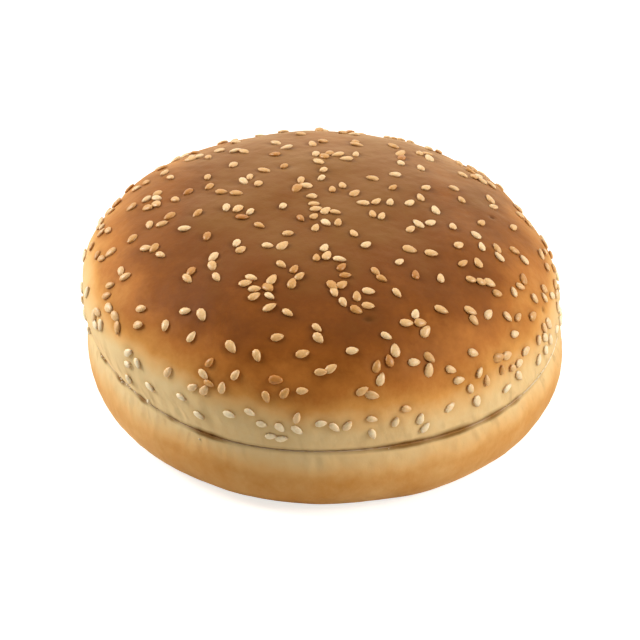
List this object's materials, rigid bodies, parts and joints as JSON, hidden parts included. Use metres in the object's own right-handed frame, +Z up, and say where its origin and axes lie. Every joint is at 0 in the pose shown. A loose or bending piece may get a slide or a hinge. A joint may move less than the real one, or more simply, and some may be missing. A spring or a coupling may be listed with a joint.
{
  "type": "sesame burger bun",
  "caption": "Round soft burger bun, cut level into a domed crown with sesame seeds and a flat-based heel.",
  "frame": {"origin": "middle of the heel's flat base", "axes": "+Z up through the crown; -Y is the side that faces the viewer, +X to their right; the bun is round, so X and Y only place its small unevenness"},
  "size_m": [0.1222, 0.1214, 0.0557],
  "materials": {
    "crown_crust": "soft baked crust, chestnut brown on the dome and pale above the cut, with a faint satin sheen",
    "heel_crust": "thin golden baked skin, pale just under the cut, matte",
    "sesame": "hulled sesame seed, cream, lightly toasted, waxy",
    "crumb": "open bread crumb, cream, matte"
  },
  "bodies": {
    "root": {"crown": "crown_crust", "heel": "heel_crust"}
  },
  "joints": []
}
